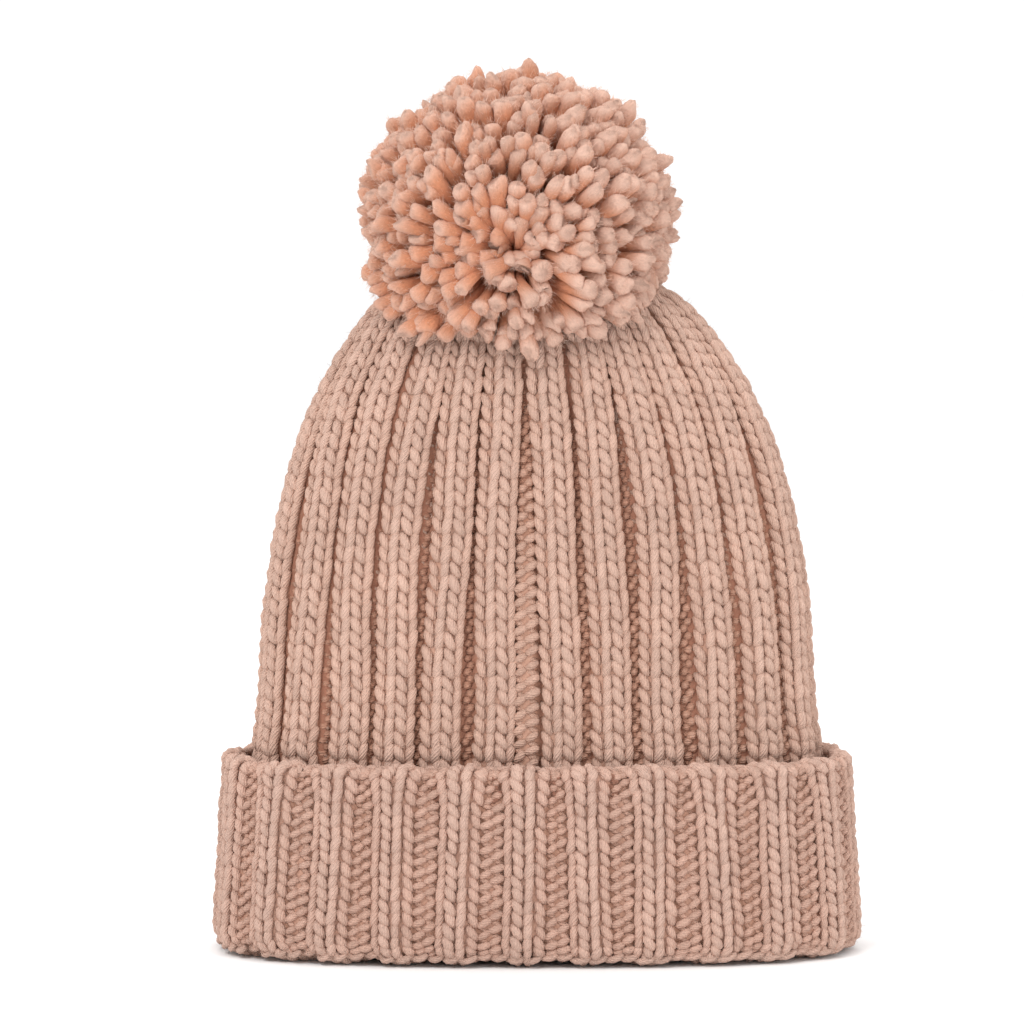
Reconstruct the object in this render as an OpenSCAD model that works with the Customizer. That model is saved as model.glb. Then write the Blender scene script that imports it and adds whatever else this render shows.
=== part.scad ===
// Chunky two-by-two rib bobble hat with a turned-up cuff, standing on its rim, opening down.
// The origin is at the middle of the rim, on the floor. The front faces -Y, the back seam +Y.

/* [Body] */
// Half the width of the body above the cuff
body_half_w = 105; // [85:1:126]
// Half the depth of the body as the empty hat stands
body_half_d = 36; // [28:1:56]
// Thickness of the rib fabric
knit_t = 8.5; // [6:0.1:10.5]
// Height of the top of the crown
crown_top_z = 250; // [205:1:290]
// Height at which the sides start to draw in
taper_z = 80; // [64:1:100]
// Height of the crown section, measured down from its top
crown_h = 60; // [40:1:80]
// Sideways lean of the crown's top, where the fabric slouches
crown_lean = -5; // [-12:1:12]

/* [Ribs] */
// Number of knit ribs round the hat
ribs = 24; // [16:1:30]
// Depth of the channel between two ribs
rib_relief = 3; // [1:0.5:3.5]
// Share of the rib pitch by which the first channel stands off the front middle
rib_phase = -0.2; // [-0.5:0.05:0.5]

/* [Cuff] */
// Height of the turned-up cuff
cuff_h = 77; // [55:1:95]
// Thickness of the turned-up fabric
cuff_t = 9.5; // [6:0.5:11]
// Gap between the body and the turned-up fabric
cuff_gap = 1.5; // [1:0.25:4]
// How much further the cuff stands out at the rim than at its top edge
cuff_flare = 4; // [0:0.5:8]
// Height of the rim, where the fabric turns
rim_h = 9; // [7:0.5:14]
// Height of the cast-on edge along the top of the cuff
edge_h = 7; // [5:0.5:10]

/* [Crown gather] */
// Radius of the bunched stitches at the top of the crown
bunch_r = 16; // [12:0.5:20]
// Radius of the eye that is left in the middle of the gather
eye_r = 5.5; // [4.5:0.25:7]
// Diameter of the knitting yarn
yarn_d = 3.6; // [2.5:0.1:5]

/* [Pompom] */
// Radius of the pompom
pompom_r = 60; // [45:1:72]
// Height of the pompom from its lowest to its highest strand tip
pompom_h = 108; // [84:1:130]
// Height of the lowest strand tips below the top of the crown
pompom_drop = 30; // [15:1:36]
// Radius of the tie's loop round the strands
tie_loop_r = 7; // [5:0.5:9]
// Radius of the twisted tails that hold the pompom
shank_r = 2.2; // [1.5:0.1:3]
// Radius of the knot inside the crown
knot_r = 6; // [5:0.5:8]
// Largest tilt forwards or backwards, in degrees
nod_deg = 15; // [5:1:18]
// Largest tilt to either side, in degrees
sway_deg = 12; // [5:1:15]
// Largest twist of the pompom round its tails, in degrees
twist_deg = 10; // [0:1:12]

/* [Hidden] */
$fn = 64;

yarn_r = yarn_d / 2;

// Shape of the crown: width falls as (1 - t ^ side_power) ^ round_power, t from the taper up
side_power = 1.6;
round_power = 0.26;
// Squareness of the oval sections: flat front and back on the body, a circle at the gather
body_square = 2.6;
round_square = 2;
// Rib section, as shares of the pitch from the middle of the channel
RIB_STEPS = [0.11, 0.23, 0.77, 0.89];
RIB_OUT = [0, 1, 1, 0];
// The relief never passes this share of the local rib pitch
relief_share = 0.2;
edge_relief = 1;
rim_relief = 0.5;
arc_steps = 120;
body_rings = 6;
crown_rings = 9;
cuff_rings = 4;
seam_sides = 8;

// Heights that follow from the sizes above
crown_z = crown_top_z - crown_h;
pivot_z = crown_top_z - knit_t / 2;
tails_above_pivot = 6.5;
tie_clearance = 0.8;
tails_top_z = pivot_z + tails_above_pivot;
tie_z = tails_top_z + tie_clearance + yarn_r + tie_loop_r;
knot_gap = 1.5;
knot_z = crown_top_z - knit_t - knot_gap - knot_r;
pompom_z = crown_top_z - pompom_drop + pompom_h / 2;
// The saddle under the pompom clears the crown over the whole tilt and twist
saddle_gap = 2;
saddle_step = 4;
saddle_steps = 9;
nod_steps = 2;
pair_gap = 0.15;

knit_color = "#d8ab96";
cuff_color = "#d5a895";
seam_color = "#c9967f";
pompom_color = "#dba78b";
tie_color = "#bf7f62";

// ---- Oval sections ----

function signed_power(v, p) = sign(v) * pow(abs(v), p);

// Point of a superellipse at angle phi from the front middle, turning towards +X
function oval_point(a, b, n, phi) =
    [a * signed_power(sin(phi), 2 / n), -b * signed_power(cos(phi), 2 / n)];

// Outward unit normal of the superellipse at its point p
function oval_normal(a, b, n, p) =
    let (g = [signed_power(p.x / a, n - 1) / a, signed_power(p.y / b, n - 1) / b])
    g / norm(g);

// Pairs of arc length and angle round the oval
function arc_table(a, b, n) =
    let (pts = [for (i = [0:arc_steps]) oval_point(a, b, n, 360 * i / arc_steps)])
    [for (i = 0, s = 0; i <= arc_steps;
          i = i + 1, s = s + (i <= arc_steps ? norm(pts[i] - pts[i - 1]) : 0))
        [s, 360 * i / arc_steps]];

function wrap(share) = share - floor(share);

// Point on an oval at a share of its girth, moved outwards by out
function girth_point(sec, table, share, out) =
    let (
        girth = table[arc_steps][0],
        p = oval_point(sec[0], sec[1], sec[2], lookup(wrap(share) * girth, table)),
        q = p + out * oval_normal(sec[0], sec[1], sec[2], p)
    )
    [q.x + sec[3], q.y, sec[4]];

// Ring of points for the section [a, b, squareness, centre x, z], with its channels sunk
// by relief between the ribs. The inner face has none, so that it stays smooth.
function rib_ring(sec, phase, relief) =
    let (
        table = arc_table(sec[0], sec[1], sec[2]),
        pitch = table[arc_steps][0] / ribs,
        deep = min(relief, relief_share * pitch)
    )
    [for (k = [0:ribs - 1], m = [0:3])
        girth_point(sec, table, (k + RIB_STEPS[m] + phase) / ribs, deep * (RIB_OUT[m] - 1))];

// Closed solid through a loop of rings, each with the same number of points
module ring_solid(rings) {
    sides = len(rings[0]);
    count = len(rings);
    polyhedron(
        points = [for (r = rings, p = r) p],
        faces = [
            for (i = [0:count - 1], j = [0:sides - 1], half = [0, 1])
                let (
                    i2 = (i + 1) % count,
                    j2 = (j + 1) % sides,
                    a = i * sides + j,
                    b = i2 * sides + j,
                    c = i2 * sides + j2,
                    d = i * sides + j2
                )
                half == 0 ? [a, b, c] : [a, c, d]
        ],
        convexity = 8
    );
}

// ---- Profile of the body and crown ----

// Each skin of the fabric is [half width, half depth, top height]
OUTER = [body_half_w, body_half_d, crown_top_z];
INNER = [body_half_w - knit_t, body_half_d - knit_t, crown_top_z - knit_t];

function width_at(skin, z) =
    let (t = max(0, (z - taper_z) / (skin[2] - taper_z)))
    skin[0] * pow(1 - pow(t, side_power), round_power);

function height_at(skin, w) =
    taper_z + (skin[2] - taper_z)
        * pow(1 - pow(w / skin[0], 1 / round_power), 1 / side_power);

// Share of the way from the gather (0) to the full body (1) at half width w
function fullness(skin, w) = (w - bunch_r) / (skin[0] - bunch_r);

function depth_at(skin, w) = bunch_r + (skin[1] - bunch_r) * fullness(skin, w);

// Sideways shift of a section: none at the full body, the whole lean at the gather
function lean_at(skin, w) = crown_lean * (1 - pow(fullness(skin, w), 2));

function skin_section(skin, w, z) = [
    w,
    depth_at(skin, w),
    round_square + (body_square - round_square) * fullness(skin, w),
    lean_at(skin, w),
    z
];

function body_section(skin, z) = skin_section(skin, width_at(skin, z), z);

BODY_Z = [rim_h, for (i = [0:body_rings]) taper_z + (crown_z - taper_z) * i / body_rings];

// Crown sections from the body up to the bunched stitches, closer together near the top
function crown_sections(skin) =
    let (w0 = width_at(skin, crown_z))
    [for (i = [0:crown_rings])
        let (w = bunch_r + (w0 - bunch_r) * cos(90 * i / crown_rings))
        skin_section(skin, w, i == 0 ? crown_z : height_at(skin, w))];

function crown_relief(i) = i == crown_rings ? 0 : rib_relief;

function reversed(list) = [for (i = [len(list) - 1:-1:0]) list[i]];

// ---- Profile of the cuff ----

// The cuff's ribs stand over the body's channels, because the same fabric is turned over
cuff_phase = rib_phase + 0.5;

// Oval that stands off the body's lower end by out, at height z
function off_section(out, z) =
    [body_half_w + out, body_half_d + out, body_square, 0, z];

function cuff_in(z) = cuff_gap + cuff_flare * (1 - (z - rim_h) / (cuff_h - rim_h));

function cuff_out(z) = cuff_in(z) + cuff_t;

CUFF_Z = [for (i = [0:cuff_rings]) rim_h + (cuff_h - edge_h - rim_h) * i / cuff_rings];

// Swept yarn along a path that lies near a plane of constant X
module yarn_tube(path, r) {
    last = len(path) - 1;
    rings = [
        for (i = [0:last])
            let (
                t = path[min(i + 1, last)] - path[max(i - 1, 0)],
                n = cross(t / norm(t), [1, 0, 0]),
                u = n / norm(n),
                v = cross(t / norm(t), u)
            )
            [for (k = [0:seam_sides - 1])
                path[i] + r * (cos(360 * k / seam_sides) * u + sin(360 * k / seam_sides) * v)]
    ];
    polyhedron(
        points = [for (ring = rings, p = ring) p],
        faces = concat(
            [[for (k = [0:seam_sides - 1]) k]],
            [for (i = [0:last - 1], k = [0:seam_sides - 1], half = [0, 1])
                let (
                    k2 = (k + 1) % seam_sides,
                    a = i * seam_sides + k,
                    b = i * seam_sides + k2,
                    c = (i + 1) * seam_sides + k2,
                    d = (i + 1) * seam_sides + k
                )
                half == 0 ? [a, c, b] : [a, d, c]],
            [[for (k = [seam_sides - 1:-1:0]) last * seam_sides + k]]
        )
    );
}

// Point of a section on the channel nearest the middle of the back
function back_point(sec, phase, out) =
    girth_point(sec, arc_table(sec[0], sec[1], sec[2]), 0.5 + phase / ribs, out);

// ---- Knitted fabric ----

module body_knit() {
    color(knit_color)
        ring_solid(concat(
            [for (z = BODY_Z) rib_ring(body_section(OUTER, z), rib_phase, rib_relief)],
            [for (z = reversed(BODY_Z))
                rib_ring(body_section(INNER, z), rib_phase, 0)]
        ));
}

module crown_knit() {
    outer = crown_sections(OUTER);
    inner = crown_sections(INNER);
    color(knit_color)
        ring_solid(concat(
            [for (i = [0:crown_rings]) rib_ring(outer[i], rib_phase, crown_relief(i))],
            [for (i = [crown_rings:-1:0]) rib_ring(inner[i], rib_phase, 0)]
        ));
}

module cuff_panel() {
    color(cuff_color)
        ring_solid(concat(
            [for (z = CUFF_Z) rib_ring(off_section(cuff_out(z), z), cuff_phase, rib_relief)],
            [for (z = reversed(CUFF_Z))
                rib_ring(off_section(cuff_in(z), z), cuff_phase, 0)]
        ));
}

// Rounded, slightly flared cast-on edge along the top of the cuff
module cuff_cast_on_edge() {
    base_z = cuff_h - edge_h;
    low = cuff_in(base_z);
    profile = [
        for (a = [0:30:180])
            [low + cuff_t / 2 + cuff_t / 2 * cos(a), base_z + edge_h * (0.35 + 0.65 * sin(a))]
    ];
    color(cuff_color)
        ring_solid(concat(
            [rib_ring(off_section(low + cuff_t, base_z), cuff_phase, edge_relief)],
            [for (p = profile) rib_ring(off_section(p[0], p[1]), cuff_phase, edge_relief)],
            [rib_ring(off_section(low, base_z), cuff_phase, edge_relief)]
        ));
}

// Turned rim that joins the body to the cuff; its flat underside stands on the floor
module rim_fold() {
    inside = -knit_t;
    outside = cuff_out(rim_h);
    round_w = 0.3 * (outside - inside);
    corner = [0, 30, 60, 90];
    color(cuff_color)
        ring_solid(concat(
            [for (a = corner)
                rib_ring(off_section(inside + round_w * (1 - cos(a)), rim_h * (1 - sin(a))),
                         cuff_phase, rim_relief)],
            [for (a = reversed(corner))
                rib_ring(off_section(outside - round_w * (1 - cos(a)), rim_h * (1 - sin(a))),
                         cuff_phase, rim_relief)]
        ));
}

// Last round of stitches, drawn together round an eye, with the groove that holds the yarn
module crown_bunched_stitches() {
    color(knit_color)
        translate([crown_lean, 0, 0])
            difference() {
                translate([0, 0, crown_top_z - knit_t])
                    cylinder(h = knit_t, r = bunch_r - pair_gap);
                translate([0, 0, crown_top_z - knit_t - 1])
                    cylinder(h = knit_t + 2, r = eye_r);
                gather_ring(yarn_r + pair_gap);
            }
}

module gather_ring(r) {
    translate([0, 0, pivot_z])
        rotate_extrude()
            translate([(eye_r + bunch_r) / 2, 0])
                circle(r = r);
}

module crown_gather_yarn() {
    color(seam_color)
        translate([crown_lean, 0, 0])
            gather_ring(yarn_r);
}

// ---- Sewing yarn ----

module back_seam_yarn() {
    sections = concat(
        [for (z = BODY_Z) body_section(INNER, z)],
        [for (i = [1:crown_rings - 1]) crown_sections(INNER)[i]]
    );
    color(seam_color)
        yarn_tube([for (sec = sections) back_point(sec, rib_phase, -yarn_r / 2)], yarn_r);
}

module cuff_seam_yarn() {
    seam_r = yarn_r / 2;
    low_z = rim_h + seam_r;
    high_z = cuff_h - edge_h - seam_r;
    color(seam_color)
        yarn_tube([
            for (i = [0:cuff_rings])
                let (z = low_z + (high_z - low_z) * i / cuff_rings)
                back_point(off_section(cuff_in(z), z), rib_phase, 0)
        ], seam_r);
}

// ---- Pompom ----

// Two tails of the tie, twisted together, through the eye and into the knot
module pompom_tails() {
    color(tie_color)
        translate([crown_lean, 0, knot_z - knot_r])
            cylinder(h = tails_top_z - knot_z + knot_r, r = shank_r);
}

// Knot under the crown, with the two cut ends of the tails
module inside_knot() {
    stub_l = 2 * knot_r;
    color(tie_color)
        translate([crown_lean, 0, knot_z])
            difference() {
                union() {
                    sphere(r = knot_r);
                    for (side = [-1, 1])
                        rotate([0, side * 125, 0])
                            cylinder(h = stub_l, r = yarn_r);
                }
                translate([0, 0, -knot_r - yarn_r])
                    cylinder(h = 2 * (knot_r + yarn_r), r = shank_r);
            }
}

// Tight loop of yarn round the middle of the strands, standing across the hat's width
module pompom_tie() {
    color(tie_color)
        translate([crown_lean, 0, tie_z])
            rotate([0, 90, 0])
                rotate_extrude()
                    translate([tie_loop_r, 0])
                        circle(r = yarn_r);
}

// Half depth of the crown at height z, x to the side of its middle
function crown_half(x, z) =
    let (w = width_at(OUTER, min(z, crown_top_z)), sec = skin_section(OUTER, w, z))
    x >= w ? 0 : sec[1] * pow(1 - pow(x / w, sec[2]), 1 / sec[2]);

// Radius of the pompom at height z
function pompom_reach(z) =
    pompom_r * sqrt(max(0, 1 - pow((z - pompom_z) / (pompom_h / 2), 2)));

// Half width of the saddle at height z. Seen from the pompom, the sway lifts the crown on
// one side, and the twist turns the far ends of the crown towards the saddle's walls.
function saddle_half(z) =
    saddle_gap + max([
        for (x = [0:saddle_step:pompom_reach(z)], lift = [0, sin(sway_deg)])
            let (y = crown_half(x, z - x * lift))
            y > 0 ? y * cos(twist_deg) + x * sin(twist_deg) : 0
    ]);

// Height of the saddle's roof: the crown's top over every x, lifted by the sway
function saddle_roof() =
    saddle_gap + max([
        for (x = [bunch_r:saddle_step:pompom_r])
            height_at(OUTER, x) + x * sin(sway_deg)
    ]);

// The room that the crown takes under the pompom, swept through the nod
module saddle_section() {
    low_z = crown_top_z - pompom_drop - saddle_step;
    roof_z = saddle_roof();
    side = [
        for (i = [0:saddle_steps])
            let (z = low_z + (roof_z - low_z) * i / saddle_steps)
            [saddle_half(z), z - pivot_z]
    ];
    translate([0, pivot_z])
        for (i = [-nod_steps:nod_steps])
            rotate(nod_deg * i / nod_steps)
                polygon(concat(side, [for (p = reversed(side)) [-p[0], p[1]]]));
}

// Ball of cut strands: open under its middle, where it sits over the flat crown
module pompom_strands() {
    profile_steps = 20;
    half_oval = [
        for (i = [0:profile_steps])
            let (a = -90 + 180 * i / profile_steps)
            [pompom_r * abs(cos(a)), pompom_h / 2 * sin(a)]
    ];
    color(pompom_color)
        translate([crown_lean, 0, 0])
            difference() {
                translate([0, 0, pompom_z])
                    rotate_extrude()
                        polygon(half_oval);
                translate([-pompom_r - 1, 0, 0])
                    rotate([90, 0, 90])
                        linear_extrude(height = 2 * pompom_r + 2)
                            saddle_section();
                translate([0, 0, tie_z])
                    sphere(r = tie_loop_r + yarn_r + tie_clearance);
            }
}

body_knit();
crown_knit();
cuff_panel();
cuff_cast_on_edge();
rim_fold();
crown_bunched_stitches();
crown_gather_yarn();
back_seam_yarn();
cuff_seam_yarn();
pompom_tails();
inside_knot();
pompom_tie();
pompom_strands();
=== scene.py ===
"""Looks of the chunky two-by-two rib hat: each stitch of the fabric and each strand of the pompom
is a tube of yarn, laid on the CAD part's surfaces. Sizes are in mm until a mesh is made."""

import math

import bpy
import numpy as np
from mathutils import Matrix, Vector


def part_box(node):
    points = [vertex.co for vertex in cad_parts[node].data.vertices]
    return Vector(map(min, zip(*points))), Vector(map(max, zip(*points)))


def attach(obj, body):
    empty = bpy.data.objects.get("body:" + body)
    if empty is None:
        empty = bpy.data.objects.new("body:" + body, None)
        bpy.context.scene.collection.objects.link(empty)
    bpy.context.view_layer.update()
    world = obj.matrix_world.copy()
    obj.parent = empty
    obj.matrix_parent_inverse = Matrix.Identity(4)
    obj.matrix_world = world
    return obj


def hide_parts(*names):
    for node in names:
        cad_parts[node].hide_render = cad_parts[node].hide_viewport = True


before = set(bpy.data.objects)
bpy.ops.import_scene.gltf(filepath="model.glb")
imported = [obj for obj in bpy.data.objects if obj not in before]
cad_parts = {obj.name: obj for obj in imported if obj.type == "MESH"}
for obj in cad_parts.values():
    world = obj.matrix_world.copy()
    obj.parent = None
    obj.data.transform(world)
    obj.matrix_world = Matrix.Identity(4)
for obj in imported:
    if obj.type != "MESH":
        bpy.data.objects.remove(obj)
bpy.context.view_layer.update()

MM = 0.001
TAU = 2 * math.pi
join = np.concatenate
rng = np.random.default_rng(20)

# ---- Camera: the photo's angle ----
CAM_LENS = 180
CAM_SENSOR = 36
CAM_ELEVATION = math.radians(4.8)
CAM_AIM = Vector((-0.009, 0, 0.161))
CAM_FIELD = 0.375

cam_data = bpy.data.cameras.new("camera")
cam_data.lens = CAM_LENS
cam_data.sensor_width = CAM_SENSOR
cam = bpy.data.objects.new("camera", cam_data)
link = bpy.context.scene.collection.objects.link
link(cam)
cam_back = Vector((0, -math.cos(CAM_ELEVATION), math.sin(CAM_ELEVATION)))
cam.location = CAM_AIM + cam_back * (CAM_FIELD / 2 / (CAM_SENSOR / 2 / CAM_LENS))
cam.rotation_mode = "QUATERNION"
cam.rotation_quaternion = (-cam_back).to_track_quat("-Z", "Y")
bpy.context.scene.camera = cam


# ---- Sizes from the frame ----
def node_mm(node):
    lo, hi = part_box(node)
    return np.array(lo) / MM, np.array(hi) / MM


crown_lo, crown_hi = node_mm("crown_knit")
rim_lo, rim_hi = node_mm("rim_fold")
_, edge_hi = node_mm("cuff_cast_on_edge")
bunch_lo, bunch_hi = node_mm("crown_bunched_stitches")
tie_lo, tie_hi = node_mm("pompom_tie")
tails_lo, tails_hi = node_mm("pompom_tails")
knot_lo, knot_hi = node_mm("inside_knot")
ball_lo, ball_hi = node_mm("pompom_strands")

# The part's own sizes, which the frame doesn't give
KNIT_T = 8.5
CUFF_T = 9.5
CUFF_GAP = 1.5
CUFF_FLARE = 4.0
BODY_SQUARE = 2.6
ROUND_SQUARE = 2.0
SIDE_POWER = 1.6
ROUND_POWER = 0.26
TAPER_Z = 80.0
LEAN = -5.0
RIBS = 24
# How far the worn cuff's top edge sits below the CAD's
CUFF_SLUMP = 3.0
# Power by which the crown's lean fades from the eye to the body
LEAN_POWER = 1.3

RIM_OUT = CUFF_GAP + CUFF_FLARE + CUFF_T
HALF_W = (rim_hi[0] - rim_lo[0]) / 2 - RIM_OUT
HALF_D = (rim_hi[1] - rim_lo[1]) / 2 - RIM_OUT
TOP_Z = crown_hi[2]
RIM_H = rim_hi[2]
CUFF_H = edge_hi[2] - CUFF_SLUMP
CROWN_Z = crown_lo[2]
BUNCH_R = (bunch_hi[0] - bunch_lo[0]) / 2

# A face of the fabric: half width, half depth and top of its crown
OUTER = (HALF_W, HALF_D, TOP_Z)
INNER = (HALF_W - KNIT_T, HALF_D - KNIT_T, TOP_Z - KNIT_T)


def width_at(skin, z):
    """Half width of a face at a height."""
    t = np.clip((z - TAPER_Z) / (skin[2] - TAPER_Z), 0, 1)
    return skin[0] * (1 - t**SIDE_POWER) ** ROUND_POWER


def height_at(skin, w):
    """Height of a face's crown at a half width."""
    t = (1 - (w / skin[0]) ** (1 / ROUND_POWER)) ** (1 / SIDE_POWER)
    return TAPER_Z + (skin[2] - TAPER_Z) * t


SHOULDER_IN, SHOULDER_Z, SHOULDER_SPREAD = 2.6, 224.0, 26.0
WAIST_IN, WAIST_Z, WAIST_SPREAD = 1.4, 98.0, 22.0


def drawn_in(z):
    """How far the sides pull in at the shoulders and just above the cuff."""
    shoulder = SHOULDER_IN * np.exp(-(((z - SHOULDER_Z) / SHOULDER_SPREAD) ** 2))
    return shoulder + WAIST_IN * np.exp(-(((z - WAIST_Z) / WAIST_SPREAD) ** 2))


def crown_section(skin, w, z):
    """Ovals of a face above the taper: half sizes, squareness, middle and height."""
    full = np.clip((w - BUNCH_R) / (skin[0] - BUNCH_R), 0, 1)
    depth = BUNCH_R + (skin[1] - BUNCH_R) * full
    square = ROUND_SQUARE + (BODY_SQUARE - ROUND_SQUARE) * full
    half = w - drawn_in(z) * np.clip(full * 2, 0, 1)
    return np.stack([half, depth, square, LEAN * (1 - full) ** LEAN_POWER, z], -1)


def lower_section(out, z):
    """Ovals below the taper, at a distance out from the body's outer face."""
    one = np.ones_like(z)
    return np.stack([HALF_W + out, HALF_D + out, BODY_SQUARE * one, 0 * one, z], -1)


def signed_power(v, p):
    return np.sign(v) * np.abs(v) ** p


def unit(vectors):
    return vectors / np.linalg.norm(vectors, axis=-1, keepdims=True)


# ---- The fabric as a surface: rows of equal-arc ovals ----
GIRTH_STEPS = 960
ARC_SAMPLES = 2881
PATH_STEP = 1.0


class Cloth:
    """A surface: u is the share of the girth from the front towards +X, v the way along it."""

    def __init__(self, sections):
        angle = np.linspace(0, TAU, ARC_SAMPLES)
        rings, girth = [], []
        share = np.arange(GIRTH_STEPS) / GIRTH_STEPS
        for a, b, n, cx, z in sections:
            x = a * signed_power(np.sin(angle), 2 / n)
            y = -b * signed_power(np.cos(angle), 2 / n)
            arc = join([[0], np.cumsum(np.hypot(np.diff(x), np.diff(y)))])
            px = np.interp(share * arc[-1], arc, x) + cx
            py = np.interp(share * arc[-1], arc, y)
            rings.append(np.stack([px, py, np.full_like(px, z)], -1))
            girth.append(arc[-1])
        rings, girth = np.array(rings), np.array(girth)
        step = np.linalg.norm(np.diff(rings, axis=0), axis=2).mean(1)
        along = join([[0], np.cumsum(step)])
        self.length = along[-1]
        v = np.arange(0, self.length + PATH_STEP, PATH_STEP)
        flat = rings.reshape(len(rings), -1)
        k = np.clip(np.searchsorted(along, v) - 1, 0, len(along) - 2)
        w = ((v - along[k]) / (along[k + 1] - along[k]))[:, None]
        self.p = (flat[k] * (1 - w) + flat[k + 1] * w).reshape(len(v), GIRTH_STEPS, 3)
        self.girth = np.interp(v, along, girth)
        du = np.roll(self.p, -1, 1) - np.roll(self.p, 1, 1)
        dv = np.gradient(self.p, axis=0)
        self.row_stretch = np.linalg.norm(dv, axis=2)
        normal = np.cross(du, dv)
        for _ in range(2):
            normal = unit(normal)
            normal = normal + np.roll(normal, 1, 1) + np.roll(normal, -1, 1)
        self.n = unit(normal)
        self.z = self.p[:, :, 2].mean(1)

    def girth_at(self, v):
        return np.interp(v / PATH_STEP, np.arange(len(self.girth)), self.girth)

    def look(self, grid, u, v):
        """A grid of the cloth read at any u and v."""
        i = (u % 1) * GIRTH_STEPS
        j = np.clip(v / PATH_STEP, 0, len(self.girth) - 1.001)
        i0, j0 = np.floor(i).astype(int) % GIRTH_STEPS, np.floor(j).astype(int)
        i1, j1 = (i0 + 1) % GIRTH_STEPS, j0 + 1
        fi, fj = (i - np.floor(i)), (j - j0)
        if grid.ndim == 3:
            fi, fj = fi[..., None], fj[..., None]
        low = grid[j0, i0] * (1 - fi) + grid[j0, i1] * fi
        high = grid[j1, i0] * (1 - fi) + grid[j1, i1] * fi
        return low * (1 - fj) + high * fj

    def at(self, u, v, h):
        """Points at height h over the cloth, and the cloth's normals there."""
        normal = self.look(self.n, u, v)
        return self.look(self.p, u, v) + normal * h[..., None], normal


# ---- Path of the outer face: from behind the cuff up to the gather ----
HIDDEN_Z = 58.0
SPLIT_Z = 205.0
z_low = np.linspace(HIDDEN_Z, TAPER_Z, 12)
z_mid = np.linspace(TAPER_Z, SPLIT_Z, 60)[1:]
w_top = np.linspace(width_at(OUTER, SPLIT_Z), BUNCH_R + 0.5, 90)[1:]
outer_cloth = Cloth(
    join(
        [
            lower_section(0 * z_low, z_low),
            crown_section(OUTER, width_at(OUTER, z_mid), z_mid),
            crown_section(OUTER, w_top, height_at(OUTER, w_top)),
        ]
    )
)

# ---- Path of the other face: down inside, round the rim, up the cuff, over its top edge ----
INSIDE_SPLIT_Z = 198.0
w_in = np.linspace(BUNCH_R + 1.5, width_at(INNER, INSIDE_SPLIT_Z), 90)
z_in = np.linspace(INSIDE_SPLIT_Z, TAPER_Z, 60)[1:]
z_down = np.linspace(TAPER_Z, RIM_H + 1, 40)[1:]
turn = np.linspace(0, math.pi, 60)
TURN_POWER = 2 / 2.3
rim_mid, rim_half = (RIM_OUT - KNIT_T) / 2, (RIM_OUT + KNIT_T) / 2
turn_out = rim_mid - rim_half * signed_power(np.cos(turn), TURN_POWER)
turn_z = RIM_H * (1 - np.sin(turn) ** TURN_POWER)
EDGE_R = CUFF_T / 2
z_cuff = np.linspace(RIM_H + 1, CUFF_H - EDGE_R, 60)
CUFF_SPAN = CUFF_H - RIM_H


def cuff_out(z):
    return CUFF_GAP + CUFF_FLARE * (1 - (z - RIM_H) / CUFF_SPAN) + CUFF_T


fold = np.linspace(0, math.pi, 30)[1:]
fold_out = cuff_out(CUFF_H - EDGE_R) - EDGE_R * (1 - np.cos(fold))
fold_z = CUFF_H - EDGE_R + EDGE_R * np.sin(fold)
z_back = np.linspace(CUFF_H - EDGE_R, CUFF_H - 16, 12)[1:]
inner_sections = [
    crown_section(INNER, w_in, height_at(INNER, w_in)),
    crown_section(INNER, width_at(INNER, z_in), z_in),
    lower_section(-KNIT_T + 0 * z_down, z_down),
    lower_section(turn_out, turn_z),
    lower_section(cuff_out(z_cuff), z_cuff),
    lower_section(fold_out, fold_z),
    lower_section(fold_out[-1] + 0 * z_back, z_back),
]
inner_cloth = Cloth(join(inner_sections))
zs = inner_cloth.z
lowest = int(np.argmin(zs))
INSIDE_END = float(np.argmax(zs < RIM_H + 1)) * PATH_STEP
RIM_END = (lowest + float(np.argmax(zs[lowest:] > RIM_H))) * PATH_STEP
CUFF_END = (lowest + float(np.argmax(zs[lowest:] > CUFF_H - EDGE_R))) * PATH_STEP
CROWN_IN_END = float(np.argmax(zs < CROWN_Z)) * PATH_STEP
CROWN_START = float(np.argmax(outer_cloth.z > CROWN_Z)) * PATH_STEP

# ---- Ribs: widths of the channels of the outer face, on the body ----
FIRST_CHANNEL = -0.2 / RIBS
RIB_W = 15.05
FRONT_CHANNEL, LEFT_CHANNEL, RIGHT_CHANNEL = 9.5, 3.0, 4.2
# A place low on the body, where the girth is full
BODY_V = 20.0
body_girth = outer_cloth.girth_at(BODY_V)
channel = np.zeros(RIBS)
channel[0] = FRONT_CHANNEL
channel[1:6] = RIGHT_CHANNEL
channel[19:24] = LEFT_CHANNEL
# the back's channels share what is left
channel[6:19] = (body_girth - RIBS * RIB_W - channel.sum()) / (19 - 6)
# Least share of its width on the body that a channel keeps in the crown
CLOSED_SHARE = 0.16


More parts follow.
